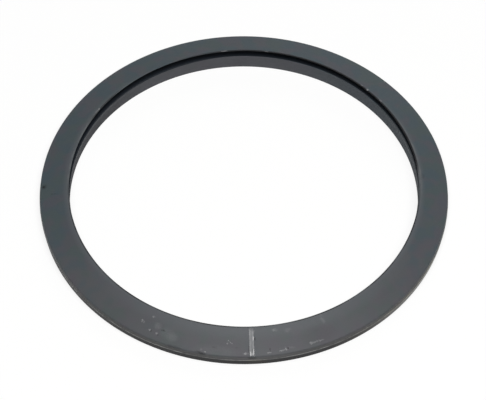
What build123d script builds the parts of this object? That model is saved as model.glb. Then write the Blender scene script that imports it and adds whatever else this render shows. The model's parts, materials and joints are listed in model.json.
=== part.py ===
"""Moulded rubber sealing ring for a turbocharger pipe joint, made in one piece.

Millimetres, +Z up. The origin is the middle of the flat base, and +Z is the ring's axis.
The whole ring is one section turned about that axis. Going round the section from the bore:
a flat base, a drafted lower rim, the parting line, a straight upper rim, a rounded shoulder,
the coned sealing face, a thin lip, and the undercut slot that lets the lip flex. A shallow
witness band crosses the sealing face.
"""

import os
from math import atan2, radians, sin, tan

from build123d import *

os.makedirs("parts", exist_ok=True)

# Bore and width of the section
bore_diameter = 85.2  # straight wall that slips over the pipe's spigot
section_width = 7.3  # from the bore wall out to the upper wall of the rim

# Heights above the base
lip_height = 6.1  # tip of the lip, the highest point
rim_height = 3.15  # where the face would meet the rim without its rounding
bore_wall_height = 4.15  # top of the bore wall, where the slot opens
parting_height = 1.9  # middle of the parting line round the rim

# Lip and shoulder
lip_setback = 0.2  # from the bore wall out to the lip's tip
lip_land = 0.15  # blunt edge at the tip
lip_root_thickness = 0.95  # measured straight down, over the root of the slot
shoulder_radius = 0.5

# Slot under the lip
slot_depth = 3.6  # from the bore wall to the root
slot_root_radius = 0.35
slot_root_flat = 0.2  # plain height left between the root's two roundings

# Rim and base edges
rim_draft = 8.0  # taper below the parting line, degrees
flash_proud = 0.1  # thin line of rubber left where the mould halves met
flash_height = 0.25
base_edge_radius = 0.05
bore_edge_chamfer = 0.05

# Witness band across the face
band_width = 1.25
band_depth = 0.08
band_bearing = -87.5  # degrees from +X about +Z

# Radii of the section
bore_radius = bore_diameter / 2
lip_radius = bore_radius + lip_setback
slot_root = bore_radius + slot_depth
rim_radius = bore_radius + section_width

# Sealing face
face_angle = atan2(lip_height - rim_height, rim_radius - lip_radius)
face_end = rim_radius - shoulder_radius * (1 - sin(face_angle))


def face_height(radius):
    """Height of the coned face above the base at a radius."""
    return lip_height - (radius - lip_radius) * tan(face_angle)


# Heights of the slot's root, and of the parting line's edges
slot_root_top = face_height(slot_root) - lip_root_thickness
slot_root_bottom = slot_root_top - slot_root_flat - 2 * slot_root_radius
flash_bottom = parting_height - flash_height / 2
flash_top = parting_height + flash_height / 2
base_radius = rim_radius - flash_bottom * tan(radians(rim_draft))
band_top = lip_height + lip_setback  # clear of the face all the way across

with BuildPart() as seal_ring:
    with BuildSketch(Plane.XZ) as section:
        with BuildLine():
            Polyline(
                (bore_radius, 0),
                (base_radius, 0),
                (rim_radius, flash_bottom),
                (rim_radius + flash_proud, parting_height),
                (rim_radius, flash_top),
                (rim_radius, rim_height),
                (lip_radius, lip_height),
                (lip_radius, lip_height - lip_land),
                (slot_root, slot_root_top),
                (slot_root, slot_root_bottom),
                (bore_radius, bore_wall_height),
                close=True,
            )
        make_face()
        shoulder = section.vertices().sort_by_distance((rim_radius, rim_height))[0]
        fillet(shoulder, shoulder_radius)
        root_middle = (slot_root, (slot_root_top + slot_root_bottom) / 2)
        root_corners = section.vertices().sort_by_distance(root_middle)[0:2]
        fillet(root_corners, slot_root_radius)
    revolve(axis=Axis.Z)

    base_edges = seal_ring.faces().sort_by(Axis.Z)[0].edges().sort_by(SortBy.RADIUS)
    chamfer(base_edges[0], bore_edge_chamfer)
    fillet(base_edges[-1], base_edge_radius)

    with BuildSketch(Plane.XZ.rotated((0, 0, band_bearing))):
        with BuildLine():
            Polyline(
                (bore_radius, face_height(bore_radius) - band_depth),
                (face_end, face_height(face_end) - band_depth),
                (face_end, band_top),
                (bore_radius, band_top),
                close=True,
            )
        make_face()
    extrude(amount=band_width / 2, both=True, mode=Mode.SUBTRACT)

seal_ring.part.label = "seal_ring"
export_step(seal_ring.part, "parts/seal_ring.step")
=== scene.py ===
"""A moulded rubber turbo gasket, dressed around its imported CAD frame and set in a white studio.

The ring is modelled as one turned section, in metres and in the frame's own axes: the base lies on z = 0,
the ring's axis is Z, and the witness band faces -Y. Bearings are in degrees from +X about +Z.
"""

import json
import logging
import math
from collections.abc import Callable
from dataclasses import dataclass, field, replace
from enum import Enum
from functools import partial, reduce

import bmesh
import bpy
from mathutils import Matrix, Vector, noise


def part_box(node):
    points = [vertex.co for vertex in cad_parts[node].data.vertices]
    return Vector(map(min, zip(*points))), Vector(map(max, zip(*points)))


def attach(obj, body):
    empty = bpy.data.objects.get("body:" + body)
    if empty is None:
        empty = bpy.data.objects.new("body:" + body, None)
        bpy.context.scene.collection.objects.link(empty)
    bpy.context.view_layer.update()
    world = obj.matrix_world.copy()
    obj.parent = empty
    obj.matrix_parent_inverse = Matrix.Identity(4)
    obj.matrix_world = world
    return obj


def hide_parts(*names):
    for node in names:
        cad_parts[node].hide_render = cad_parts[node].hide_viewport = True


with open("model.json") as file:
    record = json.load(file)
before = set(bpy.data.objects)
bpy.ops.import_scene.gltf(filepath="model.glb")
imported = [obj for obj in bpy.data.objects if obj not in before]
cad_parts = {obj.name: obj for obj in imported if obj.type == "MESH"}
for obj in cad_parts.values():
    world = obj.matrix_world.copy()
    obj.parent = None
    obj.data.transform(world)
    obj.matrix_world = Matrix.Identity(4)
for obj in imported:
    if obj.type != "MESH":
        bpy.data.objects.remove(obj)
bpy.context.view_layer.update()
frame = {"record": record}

MM = 0.001
HAIR = MM / 1000  # points nearer than this are one point
FULL_TURN = 2 * math.pi
QUARTER_TURN = 90.0  # in degrees, as bearings are
FADING = (1.0, 0.0)  # levels of what fades out
NODE = "seal_ring"
BODY = "root"

Colour = tuple[float, float, float]
Pair = tuple[float, float]
Socket = bpy.types.NodeSocket
Value = Socket | float
Coat = tuple[Value, Socket | Colour]  # how much of a colour shows, and the colour

log = logging.getLogger("turbo_gasket")


def deselect_everything() -> None:
    """Leaves no object selected and none active."""
    bpy.ops.object.select_all(action="DESELECT")
    bpy.context.view_layer.objects.active = None


def spot(radius: float, bearing: float, height: float = 0.0) -> Vector:
    """A point given by its radius, bearing and height.

    Args:
        radius: Distance from the ring's axis, in metres.
        bearing: Degrees from +X about +Z.
        height: Height above the base, in metres.

    Returns:
        The point in the frame's own axes.
    """
    turn = math.radians(bearing)
    return Vector((radius * math.cos(turn), radius * math.sin(turn), height))


# Shape


@dataclass(frozen=True)
class Corner:
    """One corner of the ring's section.

    Attributes:
        radius: Distance from the ring's axis, in metres.
        height: Height above the base, in metres.
        rounding: Radius of the rounding at the corner, in metres, or 0 for a sharp one.
        steps: Number of straight steps that the rounding takes.
    """

    radius: float
    height: float
    rounding: float = 0.0
    steps: int = 1

    def at(self) -> Vector:
        """The corner's place in the XZ plane."""
        return Vector((self.radius, 0.0, self.height))


@dataclass(frozen=True)
class Nick:
    """A small dent in the lip's edge.

    Attributes:
        bearing: Where it lies round the ring, in degrees.
        reach: Half its length along the edge, in metres.
        depth: How far the edge is pushed in, in metres.
    """

    bearing: float
    reach: float
    depth: float


@dataclass
class SealRing:
    """The gasket itself, one moulding.

    The section runs round from the bore: flat base, drafted lower rim, parting line, upper rim, shoulder,
    coned sealing face, lip, and the undercut slot that frees the lip.

    Attributes:
        height: Height of the lip's tip over the base, in metres, as all other sizes are.
        bore_radius: Radius of the straight bore wall.
        outer_radius: Radius over the parting line.
        flash_proud: How far the parting line stands out from the rim.
        flash_wander: How much less it stands out where it is thinnest, in places wander_size apart.
        lip_setback: How much further out than the bore wall the lip's tip is.
        lip_land: Height of the lip's blunt edge.
        lip_root_thickness: Height of rubber over the root of the slot.
        slot_root_flat: Plain height between the root's two roundings.
        rim_draft: Taper of the lower rim, in degrees.
        nicks: The dents in the lip.
        turns: Number of cells round the ring.
        longest_step: Longest cell along the section.
        smooth_angle: Edges that turn by more than this many degrees stay crisp.
        same_slope: How nearly a cell's slope has to be the sealing face's to count as part of it.
        piece: The mesh, once it is built.
    """

    height: float
    bore_radius: float
    outer_radius: float
    rim_height: float = 3.15 * MM
    bore_wall_height: float = 4.15 * MM
    parting_height: float = 1.90 * MM
    flash_proud: float = 0.10 * MM
    flash_height: float = 0.25 * MM
    flash_wander: float = 0.04 * MM
    wander_size: float = 1.5 * MM
    lip_setback: float = 0.20 * MM
    lip_land: float = 0.15 * MM
    lip_rounding: float = 0.08 * MM
    lip_root_thickness: float = 0.95 * MM
    shoulder_radius: float = 0.50 * MM
    slot_depth: float = 3.60 * MM
    slot_root_radius: float = 0.35 * MM
    slot_root_flat: float = 0.20 * MM
    rim_draft: float = 8.0
    base_edge: float = 0.05 * MM
    edge_softness: float = 0.03 * MM
    band_width: float = 1.25 * MM
    band_depth: float = 0.06 * MM
    band_bearing: float = -87.5
    nicks: tuple[Nick, ...] = (
        Nick(145.6, 0.45 * MM, 0.10 * MM),
        Nick(45.1, 0.40 * MM, 0.09 * MM),
        Nick(60.6, 0.30 * MM, 0.07 * MM),
    )
    turns: int = 720
    longest_step: float = 0.5 * MM
    smooth_angle: float = 35.0
    same_slope: float = 0.01
    piece: bpy.types.Object = field(init=False, default=None)

    @classmethod
    def from_frame(cls) -> "SealRing":
        """Takes the ring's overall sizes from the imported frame.

        Returns:
            A ring that is as large as its CAD node.
        """
        low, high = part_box(NODE)
        mounts = {mount["name"]: mount for mount in frame["record"]["mounts"]}
        return cls(
            height=high.z - low.z,
            bore_radius=mounts["pipe_bore"]["dims"]["r_mm"] * MM,
            outer_radius=(high.y - low.y) / 2,
        )

    @property
    def lip_radius(self) -> float:
        """Radius of the lip's tip."""
        return self.bore_radius + self.lip_setback

    @property
    def rim_radius(self) -> float:
        """Radius of the rim's plain upper wall."""
        return self.outer_radius - self.flash_proud

    @property
    def slot_root(self) -> float:
        """Radius of the root of the slot."""
        return self.bore_radius + self.slot_depth

    @property
    def flash_bottom(self) -> float:
        """Height at which the parting line's lower edge meets the rim."""
        return self.parting_height - self.flash_height / 2

    @property
    def fall(self) -> float:
        """How far the sealing face drops for each metre outwards."""
        return (self.height - self.rim_height) / (self.rim_radius - self.lip_radius)

    @property
    def face_end(self) -> float:
        """Radius where the sealing face runs into the shoulder."""
        return self.rim_radius - self.shoulder_radius * (1 - math.sin(math.atan(self.fall)))

    def face_height(self, radius: float) -> float:
        """Height of the sealing face at a radius, in metres."""
        return self.height - (radius - self.lip_radius) * self.fall

    def on_face(self, radius: float, bearing: float) -> Vector:
        """A point of the sealing face, from its radius in metres and its bearing in degrees."""
        return spot(radius, bearing, self.face_height(radius))

    def band_ways(self) -> tuple[Vector, Vector]:
        """The directions along the witness band, outwards, and across it."""
        return spot(1.0, self.band_bearing), spot(1.0, self.band_bearing + QUARTER_TURN)

    def corners(self) -> list[Corner]:
        """The corners of the section.

        Returns:
            The corners in order, from the inside of the base outwards and round.
        """
        root_top = self.face_height(self.slot_root) - self.lip_root_thickness
        root_bottom = root_top - self.slot_root_flat - 2 * self.slot_root_radius
        draft = self.flash_bottom * math.tan(math.radians(self.rim_draft))
        soft = self.edge_softness
        return [
            Corner(self.bore_radius + self.base_edge, 0.0),
            Corner(self.rim_radius - draft, 0.0, self.base_edge, 4),
            Corner(self.rim_radius, self.flash_bottom),
            Corner(self.outer_radius, self.parting_height, soft, 3),
            Corner(self.rim_radius, self.parting_height + self.flash_height / 2),
            Corner(self.rim_radius, self.rim_height, self.shoulder_radius, 10),
            Corner(self.lip_radius, self.height, self.lip_rounding, 6),
            Corner(self.lip_radius, self.height - self.lip_land, soft, 3),
            Corner(self.slot_root, root_top, self.slot_root_radius, 5),
            Corner(self.slot_root, root_bottom, self.slot_root_radius, 5),
            Corner(self.bore_radius, self.bore_wall_height, soft, 3),
            Corner(self.bore_radius, self.base_edge),
        ]

    def build(self) -> bpy.types.Object:
        """Models the ring.

        Returns:
            The finished mesh, without its finish.
        """
        self.draw_section()
        self.turn_section()
        self.sink_band()
        self.close_edit()
        self.wear_edges()
        return self.piece

    def draw_section(self) -> None:
        """Draws the section in the XZ plane from one point, corner by corner, and rounds its corners."""
        deselect_everything()
        corners = self.corners()
        bpy.ops.mesh.primitive_plane_add(size=self.lip_land, location=corners[0].at())
        self.piece = bpy.context.object
        self.piece.name = "gasket_ring"
        self.piece.data.name = "gasket_ring"
        bpy.ops.object.transform_apply(location=True, rotation=False, scale=False)
        bpy.ops.object.mode_set(mode="EDIT")
        bpy.ops.mesh.select_mode(type="VERT")
        bpy.ops.mesh.select_all(action="SELECT")
        bpy.ops.mesh.merge(type="CENTER")
        for before, after in zip(corners, corners[1:]):
            step = after.at() - before.at()
            bpy.ops.mesh.extrude_vertices_move(TRANSFORM_OT_translate={"value": step})
        self.select_points([corners[0].at(), corners[-1].at()])
        bpy.ops.mesh.edge_face_add()
        for index, corner in enumerate(corners):
            if corner.rounding:
                self.round_corner(corners[index - 1], corner, corners[(index + 1) % len(corners)])
        self.divide_long_edges()

    def round_corner(self, before: Corner, corner: Corner, after: Corner) -> None:
        """Rounds one corner of the section.

        Args:
            before: The corner before it.
            corner: The corner to round.
            after: The corner after it.
        """
        inward = (before.at() - corner.at()).angle(after.at() - corner.at())
        setback = corner.rounding / math.tan(inward / 2)
        self.select_points([corner.at()])
        bpy.ops.mesh.bevel(
            offset_type="OFFSET", offset=setback, segments=corner.steps, affect="VERTICES", profile=0.5
        )

    def divide_long_edges(self) -> None:
        """Divides each long straight run of the section, so that the turned surface has even cells."""
        mesh = bmesh.from_edit_mesh(self.piece.data)
        runs = [(edge.verts[0].co.copy(), edge.verts[1].co.copy()) for edge in mesh.edges]
        for start, end in runs:
            cuts = int((end - start).length / self.longest_step)
            if cuts:
                self.select_points([start, end])
                bpy.ops.mesh.subdivide(number_cuts=cuts)

    def turn_section(self) -> None:
        """Turns the section once round the ring's axis and closes the ring."""
        bpy.ops.mesh.select_all(action="SELECT")
        bpy.ops.mesh.spin(steps=self.turns, angle=FULL_TURN, center=(0, 0, 0), axis=(0, 0, 1))
        bpy.ops.mesh.select_all(action="SELECT")
        bpy.ops.mesh.remove_doubles(threshold=HAIR)
        bpy.ops.mesh.normals_make_consistent(inside=False)

    def sink_band(self) -> None:
        """Cuts the witness band's two sides across the sealing face and sinks what lies between them."""
        half = self.band_width / 2
        _, across = self.band_ways()
        for side in (-half, half):
            self.select_face_strip(-2 * self.band_width, 2 * self.band_width)
            bpy.ops.mesh.bisect(plane_co=across * side, plane_no=across)
        self.select_face_strip(-half, half)
        bpy.ops.mesh.inset(thickness=self.edge_softness, depth=-self.band_depth, use_boundary=True)

    def close_edit(self) -> None:
        """Leaves edit mode and shades the ring."""
        bpy.ops.mesh.select_all(action="SELECT")
        bpy.ops.object.mode_set(mode="OBJECT")
        bpy.ops.object.shade_smooth_by_angle(angle=math.radians(self.smooth_angle))

    def wear_edges(self) -> None:
        """Dents the lip where it is nicked, and lets the parting line stand out unevenly."""
        apex = self.rim_radius + self.flash_proud / 2
        lip_zone = self.height - 2 * self.lip_land
        for vertex in self.piece.data.vertices:
            place = vertex.co
            if place.xy.length > apex:
                drawn_in = self.flash_wander * (0.5 + 0.5 * noise.noise(place / self.wander_size))
                place.xy *= 1 - drawn_in / self.outer_radius
            elif place.z > lip_zone:
                for nick in self.nicks:
                    off = (place.xy - spot(self.lip_radius, nick.bearing).xy).length / nick.reach
                    if off < 1:
                        dent = nick.depth * (1 - off * off)
                        place.z -= dent
                        place.xy *= 1 + dent / self.lip_radius
        self.piece.data.update()

    def select(self, parts: str, wanted: Callable[[bmesh.types.BMVert | bmesh.types.BMFace], bool]) -> None:
        """Selects the vertices or the faces that pass a test, and nothing else.

        Args:
            parts: What to look through, verts or faces.
            wanted: The test.
        """
        bpy.ops.mesh.select_all(action="DESELECT")
        mesh = bmesh.from_edit_mesh(self.piece.data)
        for part in getattr(mesh, parts):
            if wanted(part):
                part.select = True
        mesh.select_flush_mode()
        bmesh.update_edit_mesh(self.piece.data)

    def select_points(self, points: list[Vector]) -> None:
        """Selects the vertices that lie at some points."""
        self.select("verts", lambda vertex: any((vertex.co - point).length < HAIR for point in points))

    def select_face_strip(self, start: float, end: float) -> None:
        """Selects the cells of the sealing face in a strip that runs along the witness band.

        Args:
            start: Lower side of the strip, measured across from the band's middle, in metres.
            end: Upper side of the strip.
        """
        along, across = self.band_ways()
        lean = math.cos(math.atan(self.fall))

        def in_strip(cell: bmesh.types.BMFace) -> bool:
            """Tells whether a cell is part of the strip.

            Args:
                cell: One cell of the ring's surface.

            Returns:
                Whether it lies on the sealing face and between the strip's sides.
            """
            middle = cell.calc_center_median()
            if middle.dot(along) < self.bore_radius or not start < middle.dot(across) < end:
                return False
            return abs(cell.normal.z - lean) < self.same_slope and middle.xy.length < self.face_end

        bpy.ops.mesh.select_mode(type="FACE")
        self.select("faces", in_strip)


# Finish

BLOT_HEIGHT = 10.0  # how many times as high as long a patch is, so that the sloping face lies well inside it
SCRAPE_LENGTH = 6.0  # how many times as long as wide the grain of the band's scrapes is
COARSE = 1.0  # detail of an uneven pattern with few finer layers


class MixKind(Enum):
    """What is mixed: a Mix node's data type, and its sockets for the base, the upper layer and result."""

    LEVEL = ("FLOAT", 2, 3, 0)
    COLOUR = ("RGBA", 6, 7, 2)


@dataclass
class Recipe:
    """A material's node tree, with short ways to add to it.

    Attributes:
        tree: The tree that the nodes go into.
    """

    tree: bpy.types.NodeTree

    def add(self, kind: str, **settings: object) -> bpy.types.Node:
        """Adds a node.

        Args:
            kind: The node's type name.
            settings: Properties to set on it.

        Returns:
            The node.
        """
        node = self.tree.nodes.new(kind)
        for name, value in settings.items():
            setattr(node, name, value)
        return node

    def feed(self, socket: Socket, value: Value | Colour | Vector) -> None:
        """Gives an input its value.

        Args:
            socket: The input.
            value: The value to set, or another node's output to link.
        """
        if isinstance(value, Socket):
            self.tree.links.new(value, socket)
        elif socket.type == "RGBA":
            socket.default_value = (*value, 1.0)
        else:
            socket.default_value = value

    def maths(self, operation: str, first: Value, second: Value = 0.0) -> Socket:
        """Works out one value from one or two others.

        Args:
            operation: The Math node's operation.
            first: First value.
            second: Second value.

        Returns:
            The result.
        """
        node = self.add("ShaderNodeMath", operation=operation)
        self.feed(node.inputs[0], first)
        self.feed(node.inputs[1], second)
        return node.outputs[0]

    def product(self, *values: Value) -> Socket:
        """Multiplies values together."""
        return reduce(partial(self.maths, "MULTIPLY"), values)

    def most(self, *values: Value) -> Socket:
        """Takes the largest of some values."""
        return reduce(partial(self.maths, "MAXIMUM"), values)

    def vectors(self, operation: str, first: Socket, second: Socket | Vector | Colour = (0, 0, 0)) -> Socket:
        """Works out a vector, a length or a dot product.

        Args:
            operation: The Vector Math node's operation.
            first: First vector.
            second: Second vector.

        Returns:
            The result.
        """
        node = self.add("ShaderNodeVectorMath", operation=operation)
        self.feed(node.inputs[0], first)
        self.feed(node.inputs[1], second)
        return node.outputs["Value" if operation in ("LENGTH", "DOT_PRODUCT") else "Vector"]

    def rise(self, value: Value, low: float, high: float, start: float = 0.0, end: float = 1.0) -> Socket:
        """Lets a level change smoothly from one amount to another.

        Args:
            value: What is measured.
            low: Where the change begins.
            high: Where it ends.
            start: Level up to low.
            end: Level from high on.

        Returns:
            The level.
        """
        node = self.add("ShaderNodeMapRange", interpolation_type="SMOOTHSTEP")
        self.feed(node.inputs["Value"], value)
        for name, level in zip(("From Min", "From Max", "To Min", "To Max"), (low, high, start, end)):
            node.inputs[name].default_value = level
        return node.outputs["Result"]

    def past(self, value: Value, mark: float, low: float, high: float, *levels: float) -> Socket:
        """Lets a level change as rise does, between two distances past a mark, in millimetres."""
        return self.rise(value, mark + low * MM, mark + high * MM, *levels)

    def within(self, value: Value, low: float, high: float, soft: float) -> Socket:
        """Gives 1 between two limits and 0 outside them.

        Args:
            value: What is measured.
            low: Lower limit.
            high: Upper limit.
            soft: Half the length of the change at each limit.

        Returns:
            The level.
        """
        inner = self.rise(value, low - soft, low + soft)
        outer = self.rise(value, high - soft, high + soft, *FADING)
        return self.product(inner, outer)

    def grain(self, place: Socket, size: float, detail: float = 2.0) -> bpy.types.Node:
        """Adds an uneven pattern.

        Args:
            place: The coordinates that it follows.
            size: Size of its features, in metres.
            detail: How many finer layers it has.

        Returns:
            The pattern's node.
        """
        node = self.add("ShaderNodeTexNoise")
        self.feed(node.inputs["Vector"], place)
        node.inputs["Scale"].default_value = 1 / size
        node.inputs["Detail"].default_value = detail
        return node

    def cloud(self, place: Socket, size: float, spread: Pair, levels: Pair, detail: float = 2.0) -> Socket:
        """Lets a level wander with an uneven pattern.

        Args:
            place: The coordinates that the pattern follows.
            size: Size of its features, in metres.
            spread: The pattern's amounts between which the level changes.
            levels: The level below them and the level above them.
            detail: How many finer layers the pattern has.

        Returns:
            The level.
        """
        return self.rise(self.grain(place, size, detail).outputs["Fac"], *spread, *levels)

    def stray(self, place: Socket, size: float, reach: float) -> Socket:
        """Shifts each place a little its own way, so that what is drawn there has an uneven outline.

        Args:
            place: The coordinates to shift.
            size: Size of the unevenness, in metres.
            reach: How far apart the furthest shifts are, in metres.

        Returns:
            The shifted coordinates.
        """
        shift = self.vectors("MULTIPLY", self.grain(place, size).outputs["Color"], (reach, reach, 0))
        centred = self.vectors("ADD", place, (-reach / 2, -reach / 2, 0))
        return self.vectors("ADD", centred, shift)

    def mix(
        self, share: Value, base: Value | Colour, over: Value | Colour, kind: MixKind = MixKind.LEVEL
    ) -> Socket:
        """Lays one level or colour over another.

        Args:
            share: How much of the upper one counts, from 0 to 1.
            base: The lower one.
            over: The upper one.
            kind: What is mixed.

        Returns:
            The mixture.
        """
        data_type, below, above, result = kind.value
        node = self.add("ShaderNodeMix", data_type=data_type)
        for index, value in ((0, share), (below, base), (above, over)):
            self.feed(node.inputs[index], value)
        return node.outputs[result]

    def stack(self, base: Socket | Colour, *coats: Coat) -> Socket:
        """Lays coats of colour over a base.

        Args:
            base: The lowest colour.
            coats: The coats in order, from the lowest up.

        Returns:
            The colour that shows.
        """
        for share, colour in coats:
            base = self.mix(share, base, colour, MixKind.COLOUR)
        return base

    def blot(self, place: Socket, centre: Vector, turn: float, length: float, width: float) -> Socket:
        """A soft oval patch.

        Args:
            place: The coordinates that it lies in.
            centre: Its middle.
            turn: Direction of its length, in degrees from +X.
            length: Half its length, in metres.
            width: Half its width, in metres.

        Returns:
            1 at its middle, falling to 0 at its edge.
        """
        mapping = self.add("ShaderNodeMapping", vector_type="TEXTURE")
        self.feed(mapping.inputs["Vector"], place)
        mapping.inputs["Location"].default_value = centre
        mapping.inputs["Rotation"].default_value = (0, 0, math.radians(turn))
        mapping.inputs["Scale"].default_value = (length, width, BLOT_HEIGHT * max(length, width))
        patch = self.add("ShaderNodeTexGradient", gradient_type="SPHERICAL")
        self.feed(patch.inputs["Vector"], mapping.outputs[0])
        return patch.outputs["Fac"]

    def finish_with(self, out_kind: str, share: Value, base: bpy.types.Node, over: bpy.types.Node) -> None:
        """Ends the tree with one shader laid over another.

        Args:
            out_kind: Type name of the tree's output node.
            share: How much of the upper shader shows.
            base: The lower shader's node.
            over: The upper shader's node.
        """
        whole = self.add("ShaderNodeMixShader")
        for socket, value in zip(whole.inputs, (share, base.outputs[0], over.outputs[0])):
            self.feed(socket, value)
        self.feed(self.add(out_kind).inputs[0], whole.outputs[0])


class MarkKind(Enum):
    """What a mark's edge is like: the part of its patch over which it fades in, and how far it frays."""

    SPECK = (0.1, 0.6, 1.0)
    SMUDGE = (0.0, 1.0, 1.0)
    SCUFF = (0.05, 0.45, 1.0)
    FILM = (0.0, 0.7, 0.25)


@dataclass(frozen=True)
class Mark:
    """A mark left on the sealing face by handling; those on the lip's edge are painted highlights.

    Attributes:
        kind: What its edge is like.
        bearing: Where it lies round the ring, in degrees.
        radius: How far out it lies, in millimetres.
        along: Half its length round the ring, in millimetres.
        across: Half its width across the face, in millimetres.
        strength: How much it shows, from 0 to 1.
        lean: How far its length is turned from the ring's own direction, in degrees.
    """

    kind: MarkKind
    bearing: float
    radius: float
    along: float
    across: float
    strength: float
    lean: float = 0.0

    def draw(self, recipe: Recipe, place: Socket, ragged: Socket, ring: SealRing) -> Socket:
        """Draws the mark.

        Args:
            recipe: The material's recipe.
            place: Object coordinates.
            ragged: An uneven field round 1 that frays the mark's edge.
            ring: The ring that the mark lies on.

        Returns:
            How much it shows at each place.
        """
        centre = ring.on_face(self.radius * MM, self.bearing)
        turn = self.bearing + QUARTER_TURN + self.lean
        patch = recipe.blot(place, centre, turn, self.along * MM, self.across * MM)
        low, high, fray = self.kind.value
        frayed = recipe.product(patch, recipe.mix(fray, 1.0, ragged))
        return recipe.rise(frayed, low, high, 0.0, self.strength)


PALE_MARKS = (
    Mark(MarkKind.SPECK, -118.8, 44.9, 0.55, 0.25, 0.55, 12),
    Mark(MarkKind.SPECK, -121.2, 46.8, 0.62, 0.54, 1.00),
    Mark(MarkKind.SPECK, -118.1, 48.0, 0.44, 0.42, 0.70),
    Mark(MarkKind.SPECK, -115.8, 48.1, 0.45, 0.36, 0.50),
    Mark(MarkKind.FILM, -116.3, 46.5, 1.30, 1.10, 0.155),
    Mark(MarkKind.FILM, -112.9, 47.2, 2.30, 1.70, 0.085),
    Mark(MarkKind.FILM, -111.4, 47.7, 2.30, 1.50, 0.135),
    Mark(MarkKind.FILM, -97.5, 48.8, 7.00, 1.80, 0.070),
    Mark(MarkKind.FILM, -83.5, 49.0, 5.00, 1.30, 0.030),
    Mark(MarkKind.SPECK, -94.4, 46.2, 0.26, 0.26, 0.85),
    Mark(MarkKind.SPECK, -94.7, 46.9, 0.22, 0.24, 0.50),
    Mark(MarkKind.SPECK, -93.3, 46.1, 0.20, 0.20, 0.45),
    Mark(MarkKind.SPECK, -93.5, 46.8, 0.44, 0.20, 0.85),
    Mark(MarkKind.SCUFF, -93.9, 46.5, 0.42, 0.10, 0.35, -50),
    Mark(MarkKind.SPECK, -100.9, 49.3, 0.50, 0.24, 0.75),
    Mark(MarkKind.SMUDGE, -102.0, 49.0, 0.6, 0.4, 0.20),
    Mark(MarkKind.SMUDGE, -80.2, 44.1, 1.00, 0.50, 0.36),
    Mark(MarkKind.SMUDGE, -76.0, 44.6, 1.30, 0.80, 0.13),
    Mark(MarkKind.SMUDGE, -64.4, 44.3, 0.70, 1.60, 0.22),
    Mark(MarkKind.SMUDGE, -76.3, 48.7, 1.50, 0.50, 0.12),
    Mark(MarkKind.SCUFF, -70.2, 48.7, 0.60, 0.42, 0.50),
    Mark(MarkKind.SCUFF, -69.0, 48.7, 1.30, 0.26, 0.42, 3),
    Mark(MarkKind.SCUFF, -67.3, 48.8, 0.95, 0.18, 0.42, 3),
    Mark(MarkKind.SCUFF, -79.0, 49.0, 0.9, 0.20, 0.62, 6),
    Mark(MarkKind.SCUFF, -77.7, 48.9, 0.38, 0.32, 0.65),
    Mark(MarkKind.SPECK, -79.3, 48.4, 0.18, 0.16, 0.12),
    Mark(MarkKind.SPECK, -78.0, 48.2, 0.18, 0.18, 0.40),
    Mark(MarkKind.SCUFF, -82.6, 49.1, 0.70, 0.15, 0.72),
    Mark(MarkKind.SMUDGE, -89.2, 49.1, 1.05, 0.38, 0.85),
    Mark(MarkKind.SPECK, -86.5, 48.5, 0.14, 0.18, 0.60),
    Mark(MarkKind.SPECK, -86.6, 49.5, 0.14, 0.20, 0.60),
    # From here on, the pale marks on the lip's edge are painted highlights, where the nicked edge catches
    # light.
    Mark(MarkKind.SCUFF, 96.7, 42.95, 1.00, 0.22, 0.60),
    Mark(MarkKind.SCUFF, 82.7, 42.95, 0.80, 0.22, 0.50),
    Mark(MarkKind.SMUDGE, 147.3, 43.15, 1.90, 0.34, 0.42),
    Mark(MarkKind.SPECK, 145.8, 43.15, 0.50, 0.32, 0.90),
    Mark(MarkKind.SPECK, 45.3, 43.15, 0.50, 0.42, 1.00),
    Mark(MarkKind.SPECK, 48.0, 43.25, 0.40, 0.30, 0.60),
    Mark(MarkKind.SPECK, 39.2, 43.20, 0.70, 0.26, 0.50),
)

DARK_MARKS = (
    Mark(MarkKind.SPECK, -117.7, 48.0, 0.20, 0.40, 0.75),
    Mark(MarkKind.SPECK, -115.2, 48.3, 0.22, 0.30, 0.55),
    Mark(MarkKind.SCUFF, -114.3, 47.0, 0.58, 0.24, 0.55),
    Mark(MarkKind.SCUFF, -82.3, 48.4, 0.18, 0.50, 0.40),
    Mark(MarkKind.SPECK, 178.1, 49.0, 0.48, 0.42, 0.90),
    Mark(MarkKind.SMUDGE, 178.0, 48.9, 1.00, 0.90, 0.40),
    Mark(MarkKind.SCUFF, -178.3, 46.3, 0.13, 1.20, 0.42, -19),
    Mark(MarkKind.SPECK, -77.2, 48.7, 0.26, 0.26, 0.90),
    Mark(MarkKind.SCUFF, -102.0, 49.7, 1.70, 0.40, 0.55, -8),
    Mark(MarkKind.SMUDGE, -98.4, 48.0, 0.90, 0.40, 0.30),
    Mark(MarkKind.SMUDGE, -91.7, 47.8, 0.80, 0.30, 0.16),
    Mark(MarkKind.SCUFF, -109.5, 49.7, 2.40, 0.34, 0.20),
    Mark(MarkKind.FILM, -67.5, 47.4, 6.50, 3.00, 0.120),
    Mark(MarkKind.SMUDGE, 5.0, 43.9, 1.40, 0.80, 0.25),
)


@dataclass(frozen=True)
class Streak:
    """A scrape that runs along the witness band.

    Attributes:
        across: Its middle, measured across from the band's own middle, in millimetres.
        width: Half its width, in millimetres.
        start: Radius where it begins, in millimetres.
        end: Radius where it ends, in millimetres.
        strength: How much it shows, from 0 to 1.
        soft: How softly its ends fade, in millimetres.
        side_soft: How softly its sides fade, in millimetres.
    """

    across: float
    width: float
    start: float
    end: float
    strength: float
    soft: float = 0.15
    side_soft: float = 0.06

    def draw(self, recipe: Recipe, fields: "RingFields") -> Socket:
        """Draws the streak.

        Args:
            recipe: The material's recipe.
            fields: The fields that tell where a place of the ring lies.

        Returns:
            How much it shows at each place.
        """
        left, right = (self.across - self.width) * MM, (self.across + self.width) * MM
        side = recipe.within(fields.across, left, right, self.side_soft * MM)
        run = recipe.within(fields.along, self.start * MM, self.end * MM, self.soft * MM)
        return recipe.product(side, run, self.strength)


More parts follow.
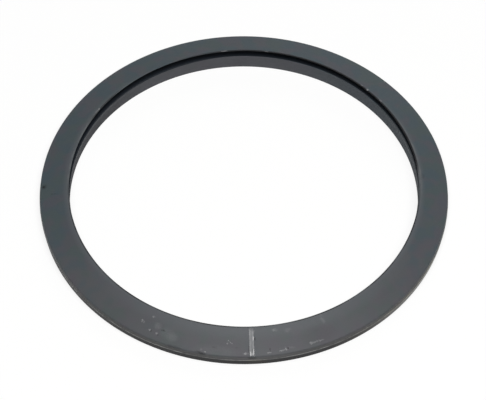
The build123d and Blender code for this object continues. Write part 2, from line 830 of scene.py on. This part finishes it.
PALE_STREAKS = (
    Streak(0.00, 0.55, 43.40, 49.45, 0.24, 0.35),
    Streak(-0.36, 0.19, 43.40, 49.50, 0.34, 0.30),
    Streak(0.36, 0.19, 43.80, 49.50, 0.34, 0.30),
    Streak(0.40, 0.13, 47.80, 49.55, 0.85),
    Streak(-0.30, 0.19, 48.70, 49.55, 0.90),
    Streak(0.08, 0.12, 48.90, 49.50, 0.55),
    Streak(0.44, 0.13, 45.15, 46.05, 0.95),
    Streak(0.62, 0.14, 43.70, 44.30, 0.20),
)

DARK_STREAKS = (
    Streak(0.78, 0.13, 45.45, 46.00, 0.90, 0.10),
    Streak(-0.80, 0.10, 47.20, 48.90, 0.40),
    Streak(0.10, 0.07, 47.80, 48.80, 0.50),
)


@dataclass(frozen=True)
class RingFields:
    """Fields that tell where a place of the ring lies.

    Attributes:
        place: Object coordinates.
        radius: Distance from the ring's axis.
        height: Height above the base.
        along: Distance from the axis, measured along the witness band.
        across: Distance from the band's middle line.
        under: Depth below the sealing face.
    """

    place: Socket
    radius: Socket
    height: Socket
    along: Socket
    across: Socket
    under: Socket

    @classmethod
    def read(cls, recipe: Recipe, ring: SealRing) -> "RingFields":
        """Adds the nodes that work the fields out.

        Args:
            recipe: The material's recipe.
            ring: The ring that the material is for.

        Returns:
            The fields.
        """
        place = recipe.add("ShaderNodeTexCoord").outputs["Object"]
        split = recipe.add("ShaderNodeSeparateXYZ")
        recipe.feed(split.inputs[0], place)
        height = split.outputs["Z"]
        radius = recipe.vectors("LENGTH", recipe.vectors("MULTIPLY", place, (1, 1, 0)))
        along, across = (recipe.vectors("DOT_PRODUCT", place, way) for way in ring.band_ways())
        fallen = recipe.product(recipe.maths("SUBTRACT", radius, ring.lip_radius), ring.fall)
        face = recipe.maths("SUBTRACT", ring.height, fallen)
        return cls(place, radius, height, along, across, recipe.maths("SUBTRACT", face, height))


@dataclass(frozen=True)
class MouldedRubber:
    """Dark rubber under a pale bloom, with painted shade in the slot and below the parting line.

    Attributes:
        bloom: Colour of the bloomed surface.
        cool_bloom_and_sky_tint: Its colour on the far side of the sealing face, where it is a painted
            reflection of the bluish surroundings, and in cool patches and on the bore wall's +X side.
        wall_bloom: Its colour on the bore wall.
        lip_bloom: Its colour beside the lip, where it is thickest.
        rim_bloom: Its colour on the shoulder and the upper rim.
        rim_shine: Its colour there in front, at the end of the witness band.
        edge_highlight: Painted highlight on the lip's edge at the two sides.
        green_bloom: Its colour in scattered faint patches.
        plum_bloom: Its colour in other faint patches.
        bare: Colour of rubber with no bloom, used for the dark marks, and also for painted shade on the
            lip's edge, the bore wall's -X side and the lower rim.
        rubbed: Colour of the lower rim's painted shade on the +X side, where the rubber is rubbed smooth.
        slot_painted_shade: Painted shade inside the slot, near its mouth.
        slot_root_painted_light: Lighter colour at the root of the slot, painted light that lifts the deep
            shade there.
        worn: Colour of handling marks, and of painted highlights on the lip's nicked edge.
        scraped: Colour of the witness band's brightest scrapes.
        flash: Painted highlight on the parting line's thin edge.
        warm_flash_highlight: The same painted highlight, warmer, beside the witness band and on the ring's
            +X side.
        roughness: Roughness of the bloomed surface.
        roughness_swing: How far that roughness wanders to either side.
        wall_roughness: Roughness of the bore wall.
        bare_roughness: Roughness of the lower rim.
        rubbed_roughness: Roughness of the lower rim where it is rubbed smooth.
        gloss: The shader's one specular level.
    """

    bloom: Colour = (0.077, 0.080, 0.086)
    cool_bloom_and_sky_tint: Colour = (0.058, 0.077, 0.0885)
    wall_bloom: Colour = (0.082, 0.084, 0.094)
    lip_bloom: Colour = (0.093, 0.101, 0.109)
    rim_bloom: Colour = (0.070, 0.068, 0.0645)
    rim_shine: Colour = (0.093, 0.092, 0.091)
    edge_highlight: Colour = (0.119, 0.127, 0.132)
    green_bloom: Colour = (0.0645, 0.081, 0.079)
    plum_bloom: Colour = (0.081, 0.074, 0.087)
    bare: Colour = (0.010, 0.010, 0.011)
    rubbed: Colour = (0.030, 0.027, 0.014)
    slot_painted_shade: Colour = (0.016, 0.020, 0.026)
    slot_root_painted_light: Colour = (0.085, 0.095, 0.110)
    worn: Colour = (0.28, 0.285, 0.29)
    scraped: Colour = (0.50, 0.50, 0.50)
    flash: Colour = (0.240, 0.240, 0.238)
    warm_flash_highlight: Colour = (0.250, 0.240, 0.175)
    roughness: float = 0.50
    roughness_swing: float = 0.05
    wall_roughness: float = 0.80
    bare_roughness: float = 0.50
    rubbed_roughness: float = 0.28
    gloss: float = 0.22

    def make(self, ring: SealRing) -> bpy.types.Material:
        """Makes the finish.

        Args:
            ring: The ring that it is for, whose sizes tell one zone from another.

        Returns:
            The material.
        """
        material = bpy.data.materials.new("bloomed_rubber")
        material.use_nodes = True
        shader = material.node_tree.nodes["Principled BSDF"]
        skin = RubberSkin(material.node_tree, self, ring)
        skin.feed(shader.inputs["Base Color"], skin.colour())
        skin.feed(shader.inputs["Roughness"], skin.roughness())
        shader.inputs["Specular IOR Level"].default_value = self.gloss
        return material


@dataclass
class RubberSkin(Recipe):
    """The moulded rubber's recipe for one ring, with its finish laid out zone by zone.

    Where a method takes levels, they are the level before the change and the one after it. They are 0 and 1
    where they aren't given.

    Attributes:
        finish: The colours and levels of the finish.
        ring: The ring that it lies on.
        fields: The fields that tell where a place of the ring lies.
    """

    finish: MouldedRubber
    ring: SealRing
    fields: RingFields = field(init=False)

    def __post_init__(self) -> None:
        """Works out the fields."""
        self.fields = RingFields.read(self, self.ring)

    def along(self, low: float, high: float, *levels: float) -> Socket:
        """Lets a level change along the witness band, between two shares of the outer radius."""
        reach = self.ring.outer_radius
        return self.rise(self.fields.along, low * reach, high * reach, *levels)

    def across(self, low: float, high: float, *levels: float) -> Socket:
        """Lets a level change across the witness band, between two shares of the outer radius."""
        reach = self.ring.outer_radius
        return self.rise(self.fields.across, low * reach, high * reach, *levels)

    def stretch(self, low: float, high: float, soft: float) -> Socket:
        """Gives 1 in a stretch across the witness band, between two shares of the outer radius."""
        reach = self.ring.outer_radius
        return self.within(self.fields.across, low * reach, high * reach, soft * reach)

    def near_band(self, left: float, right: float, soft: float) -> Socket:
        """Gives 1 in a stretch across the witness band, between two distances in millimetres."""
        return self.within(self.fields.across, left * MM, right * MM, soft * MM)

    def from_bore(self, low: float, high: float, *levels: float) -> Socket:
        """Lets a level change between two distances out from the bore wall, in millimetres."""
        return self.past(self.fields.radius, self.ring.bore_radius, low, high, *levels)

    def from_lip(self, low: float, high: float, *levels: float) -> Socket:
        """Lets a level change between two distances out from the lip's tip, in millimetres."""
        return self.past(self.fields.radius, self.ring.lip_radius, low, high, *levels)

    def above(self, mark: float, low: float, high: float, *levels: float) -> Socket:
        """Lets a level change between two distances above some height, in millimetres."""
        return self.past(self.fields.height, mark, low, high, *levels)

    def uneven(self, size: float, spread: Pair, levels: Pair, detail: float = 2.0) -> Socket:
        """Lets a level wander over the ring as cloud does, with features of a size in millimetres."""
        return self.cloud(self.fields.place, size * MM, spread, levels, detail)

    def colour(self) -> Socket:
        """Lays the bloom, the painted shade and highlights, and the marks over one another.

        Returns:
            The ring's colour.
        """
        finish = self.finish
        broken = self.uneven(0.30, (0.36, 0.56), (0.55, 1.0), COARSE)
        warm = self.most(self.rubbed_side(), self.product(self.near_band(-1.0, 3.5, 1.0), 0.45))
        return self.stack(
            self.bloom(),
            # Painted shade on the lip's edge.
            (self.lip_edge_shade(), finish.bare),
            # Painted highlight on the parting line, warmer on the +X side and beside the band.
            (self.parting_line_highlight(), self.stack(finish.flash, (warm, finish.warm_flash_highlight))),
            (self.product(self.gather_marks(PALE_MARKS), broken), finish.worn),
            (self.gather_marks(DARK_MARKS), finish.bare),
            (self.band_scrapes(PALE_STREAKS), finish.scraped),
            (self.band_scrapes(DARK_STREAKS), finish.bare),
            (self.rim_smudge(), finish.bare),
            # Painted shade on the lower rim, less dark and warmer on the +X side.
            (self.lower_rim(), self.stack(finish.bare, (warm, finish.rubbed))),
            # Painted shade inside the slot, lifted by painted light at its root.
            (self.slot(), self.painted_slot_shade()),
        )

    def roughness(self) -> Socket:
        """How rough the rubber is: bloomed, on the bore wall, and on the lower rim.

        Returns:
            The roughness.
        """
        finish = self.finish
        levels = (finish.roughness - finish.roughness_swing, finish.roughness + finish.roughness_swing)
        bloomed = self.uneven(0.25, (0.3, 0.7), levels)
        walled = self.mix(self.bore_wall(), bloomed, finish.wall_roughness)
        bare = self.mix(self.rubbed_side(), finish.bare_roughness, finish.rubbed_roughness)
        return self.mix(self.lower_rim(), walled, bare)

    def bloom(self) -> Socket:
        """The bloom: cooler round the far side of the face, where a bluish reflection is painted in, and
        faintly mottled all over.

        Returns:
            The bloom's colour.
        """
        finish, wall = self.finish, self.bore_wall()
        # Painted reflection: the face is tinted cool away from the front, as the bluish surroundings would
        # tint it.
        sky_tinted_face = self.product(self.from_bore(0.05, 0.10), self.along(-0.2, 0.9, *FADING))
        cool = self.maths("ADD", sky_tinted_face, self.uneven(4.0, (0.35, 0.65), (-0.25, 0.25), COARSE))
        uneven_wall = self.uneven(3.0, (0.40, 0.60), (0.55, 1.0), COARSE)
        return self.stack(
            finish.bloom,
            (self.rise(cool, 0.0, 1.0), finish.cool_bloom_and_sky_tint),
            (self.patches(0.0, 5.5, 0.55), finish.green_bloom),
            (self.patches(0.31, 4.5, 0.50), finish.plum_bloom),
            (self.product(wall, uneven_wall), finish.wall_bloom),
            (self.product(wall, self.across(0.2, 0.6, 0.0, 0.5)), finish.cool_bloom_and_sky_tint),
            # Painted shade: the bore wall is darkened on its -X side.
            (self.product(wall, self.across(-0.7, -0.4, 0.34, 0.0)), finish.bare),
            (self.thick_bloom(), finish.lip_bloom),
            self.rim_bloom(),
            # Painted highlight on the lip's edge at the two sides.
            (self.lip_side_highlight(), finish.edge_highlight),
        )

    def patches(self, shift: float, size: float, share: float) -> Socket:
        """Faint scattered patches.

        Args:
            shift: How far their pattern is moved, in metres, which sets one pattern apart from another.
            size: Their size, in millimetres.
            share: How much they show at the most.

        Returns:
            How much they show.
        """
        moved = self.vectors("ADD", self.fields.place, (shift, -shift, shift))
        return self.cloud(moved, size * MM, (0.47, 0.62), (0.0, share), COARSE)

    def bore_wall(self) -> Socket:
        """Gives 1 on the bore wall and 0 further out."""
        return self.from_bore(0.03, 0.08, *FADING)

    def rubbed_side(self) -> Socket:
        """Gives 1 on the ring's +X side, where the lower rim is rubbed smooth, and 0 from the band on."""
        return self.across(0.36, 0.84)

    def flanks(self) -> Socket:
        """Gives 1 at the ring's two sides, and 0 in front and behind."""
        return self.most(self.across(-0.80, -0.40, *FADING), self.across(0.60, 0.92))

    def top_side(self) -> Socket:
        """Gives 1 on the sealing face and its shoulder, and 0 on all that lies lower."""
        return self.rise(self.fields.under, 0.35 * MM, 0.60 * MM, *FADING)

    def rim_bloom(self) -> Coat:
        """The bloom on the shoulder and the upper rim of the front, warmer than on the sealing face.

        Returns:
            How much of it shows, and its colour.
        """
        finish, ring = self.finish, self.ring
        low = self.above(ring.rim_height, -0.40, 0.0, *FADING)
        outside = self.past(self.fields.radius, ring.slot_root, 1.0, 2.0)
        aside = self.rise(self.maths("ABSOLUTE", self.fields.across), 6 * MM, 15 * MM)
        dulled = (self.product(self.stretch(-0.85, -0.50, 0.08), 0.22), finish.bare)
        colour = self.stack(finish.rim_shine, (aside, finish.rim_bloom), dulled)
        return self.product(low, outside, self.along(0.25, 0.5, 0.0, 0.6)), colour

    def thick_bloom(self) -> Socket:
        """Where the bloom is thick: close beside the lip, and wider on the side of the witness band.

        Returns:
            How much of the thick bloom shows.
        """
        not_far = self.most(self.along(-0.6, -0.2), self.flanks())
        beside = self.product(self.from_lip(0.3, 1.9, 0.75, 0.0), not_far)
        wide = self.product(self.from_lip(1.0, 3.8, 0.6, 0.0), self.along(0.3, 0.85))
        return self.product(self.most(beside, wide), self.above(self.ring.rim_height, -0.4, 0.0))

    def lip_side_highlight(self) -> Socket:
        """A painted highlight on the lip's edge at the ring's two sides, uneven along its length.

        Returns:
            How much of the painted highlight shows.
        """
        further_out = self.across(0.0, 0.7, 0.0, 0.4 * MM)
        radius = self.maths("SUBTRACT", self.fields.radius, further_out)
        edge = self.past(radius, self.ring.lip_radius, 0.25, 0.65, *FADING)
        high = self.above(self.ring.height, -0.60, -0.50)
        uneven = self.uneven(2.5, (0.35, 0.60), (0.2, 0.9))
        return self.product(edge, high, uneven, self.flanks(), self.along(-0.1, 0.2, *FADING))

    def lip_edge_shade(self) -> Socket:
        """Painted shade on the lip's very edge.

        In front it is painted here and there, and behind all along the +X side and in one more
        place on the -X side.

        Returns:
            How much of the painted shade shows.
        """
        # The painted shade in front is broken up unevenly along the edge.
        worn = self.uneven(6.0, (0.35, 0.60), (0.35, 0.9))
        front = self.product(self.from_lip(0.15, 0.45, *FADING), worn, self.along(-0.2, 0.3))
        shaded_patch = self.product(self.stretch(-0.73, -0.60, 0.04), 0.7)
        sides = self.most(self.across(-0.42, 0.10), shaded_patch)
        behind = self.along(-0.15, 0.0, *FADING)
        far = self.product(self.from_lip(0.22, 0.54, *FADING), behind, sides)
        return self.product(self.above(self.ring.height, -0.35, -0.25), self.most(front, far))

    def parting_line_highlight(self) -> Socket:
        """A painted highlight on the thin edge of flash along the parting line, uneven along its length.

        Returns:
            How much of the painted highlight shows.
        """
        proud = self.past(self.fields.radius, self.ring.rim_radius, 0.005, 0.02)
        uneven = self.uneven(2.6, (0.38, 0.60), (0.20, 0.95))
        below_band = self.product(self.near_band(-2.0, 2.3, 0.5), self.along(0.0, 0.2))
        return self.product(proud, self.most(uneven, below_band))

    def rim_smudge(self) -> Socket:
        """A dark smudge on the shoulder, where the witness band ends.

        Returns:
            How much of it shows.
        """
        low, high = self.ring.rim_height - 0.65 * MM, self.ring.rim_height - 0.15 * MM
        level = self.within(self.fields.height, low, high, 0.1 * MM)
        front = self.past(self.fields.along, self.ring.slot_root, 0.0, 1.0, 0.0, 0.50)
        return self.product(self.near_band(-1.0, 0.9, 0.5), level, front)

    def gather_marks(self, marks: tuple[Mark, ...]) -> Socket:
        """Gathers marks into one field, where the strongest shows.

        Args:
            marks: The marks to gather.

        Returns:
            How much the marks show.
        """
        ragged = self.uneven(0.7, (0.3, 0.7), (0.35, 1.65))
        place = self.stray(self.fields.place, 0.3 * MM, 0.7 * MM)
        whole = self.most(*(mark.draw(self, place, ragged, self.ring) for mark in marks))
        return self.product(whole, self.top_side())

    def band_scrapes(self, streaks: tuple[Streak, ...]) -> Socket:
        """Gathers the band's streaks into one field, drawn out along the band.

        Args:
            streaks: The streaks to gather.

        Returns:
            How much of them shows.
        """
        drawn = self.add("ShaderNodeCombineXYZ")
        self.feed(drawn.inputs["X"], self.product(self.fields.across, SCRAPE_LENGTH))
        self.feed(drawn.inputs["Y"], self.fields.along)
        lengthwise = drawn.outputs[0]
        ends = self.cloud(lengthwise, 0.7 * MM, (0.3, 0.7), (-0.22 * MM, 0.22 * MM))
        sides = self.uneven(0.35, (0.3, 0.7), (-0.05 * MM, 0.05 * MM))
        along = self.maths("ADD", self.fields.along, ends)
        across = self.maths("ADD", self.fields.across, sides)
        uneven = replace(self.fields, along=along, across=across)
        whole = self.most(*(streak.draw(self, uneven) for streak in streaks))
        lines = self.cloud(lengthwise, 1.1 * MM, (0.35, 0.65), (0.8, 1.15), COARSE)
        return self.product(whole, lines, self.top_side())

    def lower_rim(self) -> Socket:
        """Painted shade on the drafted wall below the parting line, which faces down towards the floor.

        Returns:
            How much of the bare wall shows.
        """
        wall = self.past(self.fields.radius, self.ring.rim_radius, -0.40, -0.36)
        return self.product(wall, self.above(self.ring.flash_bottom, -0.10, 0.01, *FADING))

    def painted_slot_shade(self) -> Socket:
        """Painted shade inside the slot, darkest near its mouth, with painted light that lifts its root.

        Returns:
            Its colour.
        """
        start, end = self.ring.bore_radius + 1.2 * MM, self.ring.slot_root - 0.2 * MM
        deep = self.rise(self.fields.radius, start, end)
        return self.stack(self.finish.slot_painted_shade, (deep, self.finish.slot_root_painted_light))

    def slot(self) -> Socket:
        """The inside of the slot, where shade is painted.

        On the +X side the painted shade starts a little deeper in its mouth, and on the -X side it reaches
        over the top of the bore wall.

        Returns:
            How much of the painted shade shows.
        """
        ring, fields = self.ring, self.fields
        depth = self.maths("SUBTRACT", fields.radius, self.across(0.1, 0.6, 0.0, 0.25 * MM))
        inside = self.within(depth, ring.bore_radius + 0.05 * MM, ring.slot_root + 0.2 * MM, 0.03 * MM)
        off_base = self.above(0.0, 2.4, 2.6)
        height = self.maths("ADD", fields.height, self.across(-0.38, 0.10, 0.48 * MM, 0.0))
        high = self.past(height, ring.bore_wall_height, 0.02, 0.12)
        mouth = self.product(high, self.from_bore(0.2, 0.3, *FADING))
        below_face = self.rise(fields.under, 0.08 * MM, 0.14 * MM)
        return self.product(below_face, self.most(self.product(inside, off_base), mouth))


# Studio


@dataclass(frozen=True)
class Viewpoint:
    """The camera: far off, looking down at the front of the ring.

    Attributes:
        elevation: Angle above the floor, in degrees.
        distance: Distance from the middle of the ring.
        lens: Focal length, in millimetres.
        sensor: Width of the sensor, in millimetres.
        reach: Nearest and furthest distance that it sees.
        aim_right: How far right of the ring's middle the camera looks.
        aim_up: How far above it the camera looks, at right angles to the line of sight.
        roll: Turn about the line of sight, in degrees.
    """

    elevation: float = 51.99
    distance: float = 2.2022
    lens: float = 666.67
    sensor: float = 36.0
    reach: Pair = (0.1, 50.0)
    aim_right: float = -0.210 * MM
    aim_up: float = -0.637 * MM
    roll: float = -0.25

    def build(self, middle: Vector) -> None:
        """Places the camera.

        Args:
            middle: The point of the ring that the view is centred on.
        """
        tilt = math.radians(self.elevation)
        back = Vector((0, -math.cos(tilt), math.sin(tilt)))
        stand = middle + back * self.distance
        right = Vector((1, 0, 0))
        target = middle + right * self.aim_right + right.cross(-back) * self.aim_up
        bpy.ops.object.camera_add(location=stand)
        camera = bpy.context.object
        camera.name = "camera"
        camera.rotation_mode = "QUATERNION"
        look = (target - stand).to_track_quat("-Z", "Y")
        spin = Matrix.Rotation(-math.radians(self.roll), 3, "Z").to_quaternion()
        camera.rotation_quaternion = look @ spin
        camera.data.lens = self.lens
        camera.data.sensor_width = self.sensor
        camera.data.clip_start, camera.data.clip_end = self.reach
        bpy.context.scene.camera = camera


@dataclass(frozen=True)
class Softbox:
    """One soft studio lamp, turned towards the ring.

    Attributes:
        name: What the lamp is called.
        place: Where it hangs.
        width: Width of its round face.
        power: Its power in watts.
        colour: The colour of its light.
    """

    name: str
    place: tuple[float, float, float]
    width: float
    power: float
    colour: Colour = (1.0, 1.0, 1.0)

    def build(self) -> None:
        """Hangs the lamp."""
        bpy.ops.object.light_add(type="AREA", location=self.place)
        lamp = bpy.context.object
        lamp.name = self.name
        lamp.data.shape = "DISK"
        lamp.data.size = self.width
        lamp.data.energy = self.power
        lamp.data.color = self.colour
        lamp.rotation_mode = "QUATERNION"
        lamp.rotation_quaternion = (-Vector(self.place)).to_track_quat("-Z", "Y")


@dataclass(frozen=True)
class WhitePaper:
    """White paper that keeps a faint shadow.

    Attributes:
        colour: Colour of the paper where light falls on it.
        glow: Strength of its own white, which the eye sees.
        shaded: Part of its look that takes shadows.
    """

    colour: Colour = (0.98, 0.975, 0.96)
    glow: float = 1.0
    shaded: float = 0.18

    def make(self) -> bpy.types.Material:
        """Makes the finish, whose own white shows to the eye, in reflections and through clear things.

        Returns:
            The material.
        """
        material = bpy.data.materials.new("white_paper")
        material.use_nodes = True
        recipe = Recipe(material.node_tree)
        recipe.tree.nodes.clear()
        paper = recipe.add("ShaderNodeBsdfDiffuse")
        recipe.feed(paper.inputs["Color"], self.colour)
        glow = recipe.add("ShaderNodeEmission")
        glow.inputs["Strength"].default_value = self.glow
        rays = recipe.add("ShaderNodeLightPath").outputs
        watched = recipe.most(rays["Is Camera Ray"], rays["Is Glossy Ray"], rays["Is Transmission Ray"])
        share = recipe.product(watched, 1 - self.shaded)
        recipe.finish_with("ShaderNodeOutputMaterial", share, paper, glow)
        return material


@dataclass
class Studio:
    """White floor, soft lamps and even light all round.

    Attributes:
        floor_size: Length and width of the floor.
        lamps: The lamps.
        fill: Strength of the even light from all round.
        fill_colour: Colour of that light.
    """

    floor_size: float = 40.0
    lamps: tuple[Softbox, ...] = (
        Softbox("top_softbox", (0.09, -0.35, 1.1), 1.0, 14.7),
        Softbox("back_softbox", (0.25, 1.1, 0.7), 0.8, 2.6),
    )
    fill: float = 0.06
    fill_colour: Colour = (0.95, 1.0, 1.05)

    def build(self) -> None:
        """Lays the floor, hangs the lamps and lights the room."""
        self.lay_floor()
        for lamp in self.lamps:
            lamp.build()
        self.light_room()

    def lay_floor(self) -> None:
        """Lays the floor."""
        deselect_everything()
        bpy.ops.mesh.primitive_plane_add(size=self.floor_size, location=(0, 0, 0))
        floor = bpy.context.object
        floor.name = "floor"
        floor.data.materials.append(WhitePaper().make())

    def light_room(self) -> None:
        """Lights the room evenly, and keeps it white to the eye."""
        world = bpy.data.worlds.new("white_room")
        bpy.context.scene.world = world
        world.use_nodes = True
        recipe = Recipe(world.node_tree)
        recipe.tree.nodes.clear()
        light, seen = (recipe.add("ShaderNodeBackground") for _ in range(2))
        recipe.feed(light.inputs["Color"], self.fill_colour)
        light.inputs["Strength"].default_value = self.fill
        recipe.feed(seen.inputs["Color"], (1.0, 1.0, 1.0))
        seen.inputs["Strength"].default_value = 1.0
        to_eye = recipe.add("ShaderNodeLightPath").outputs["Is Camera Ray"]
        recipe.finish_with("ShaderNodeOutputWorld", to_eye, light, seen)


def main() -> None:
    """Builds the ring, then the studio round it."""
    logging.basicConfig(level=logging.INFO, format="%(name)s: %(message)s")
    bpy.context.scene.view_settings.view_transform = "Standard"
    ring = SealRing.from_frame()
    piece = ring.build()
    piece.data.materials.append(MouldedRubber().make(ring))
    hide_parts(NODE)
    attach(piece, BODY)
    log.info("gasket_ring: %d faces", len(piece.data.polygons))
    Viewpoint().build(Vector((0, 0, ring.parting_height)))
    Studio().build()


if __name__ == "__main__":
    main()
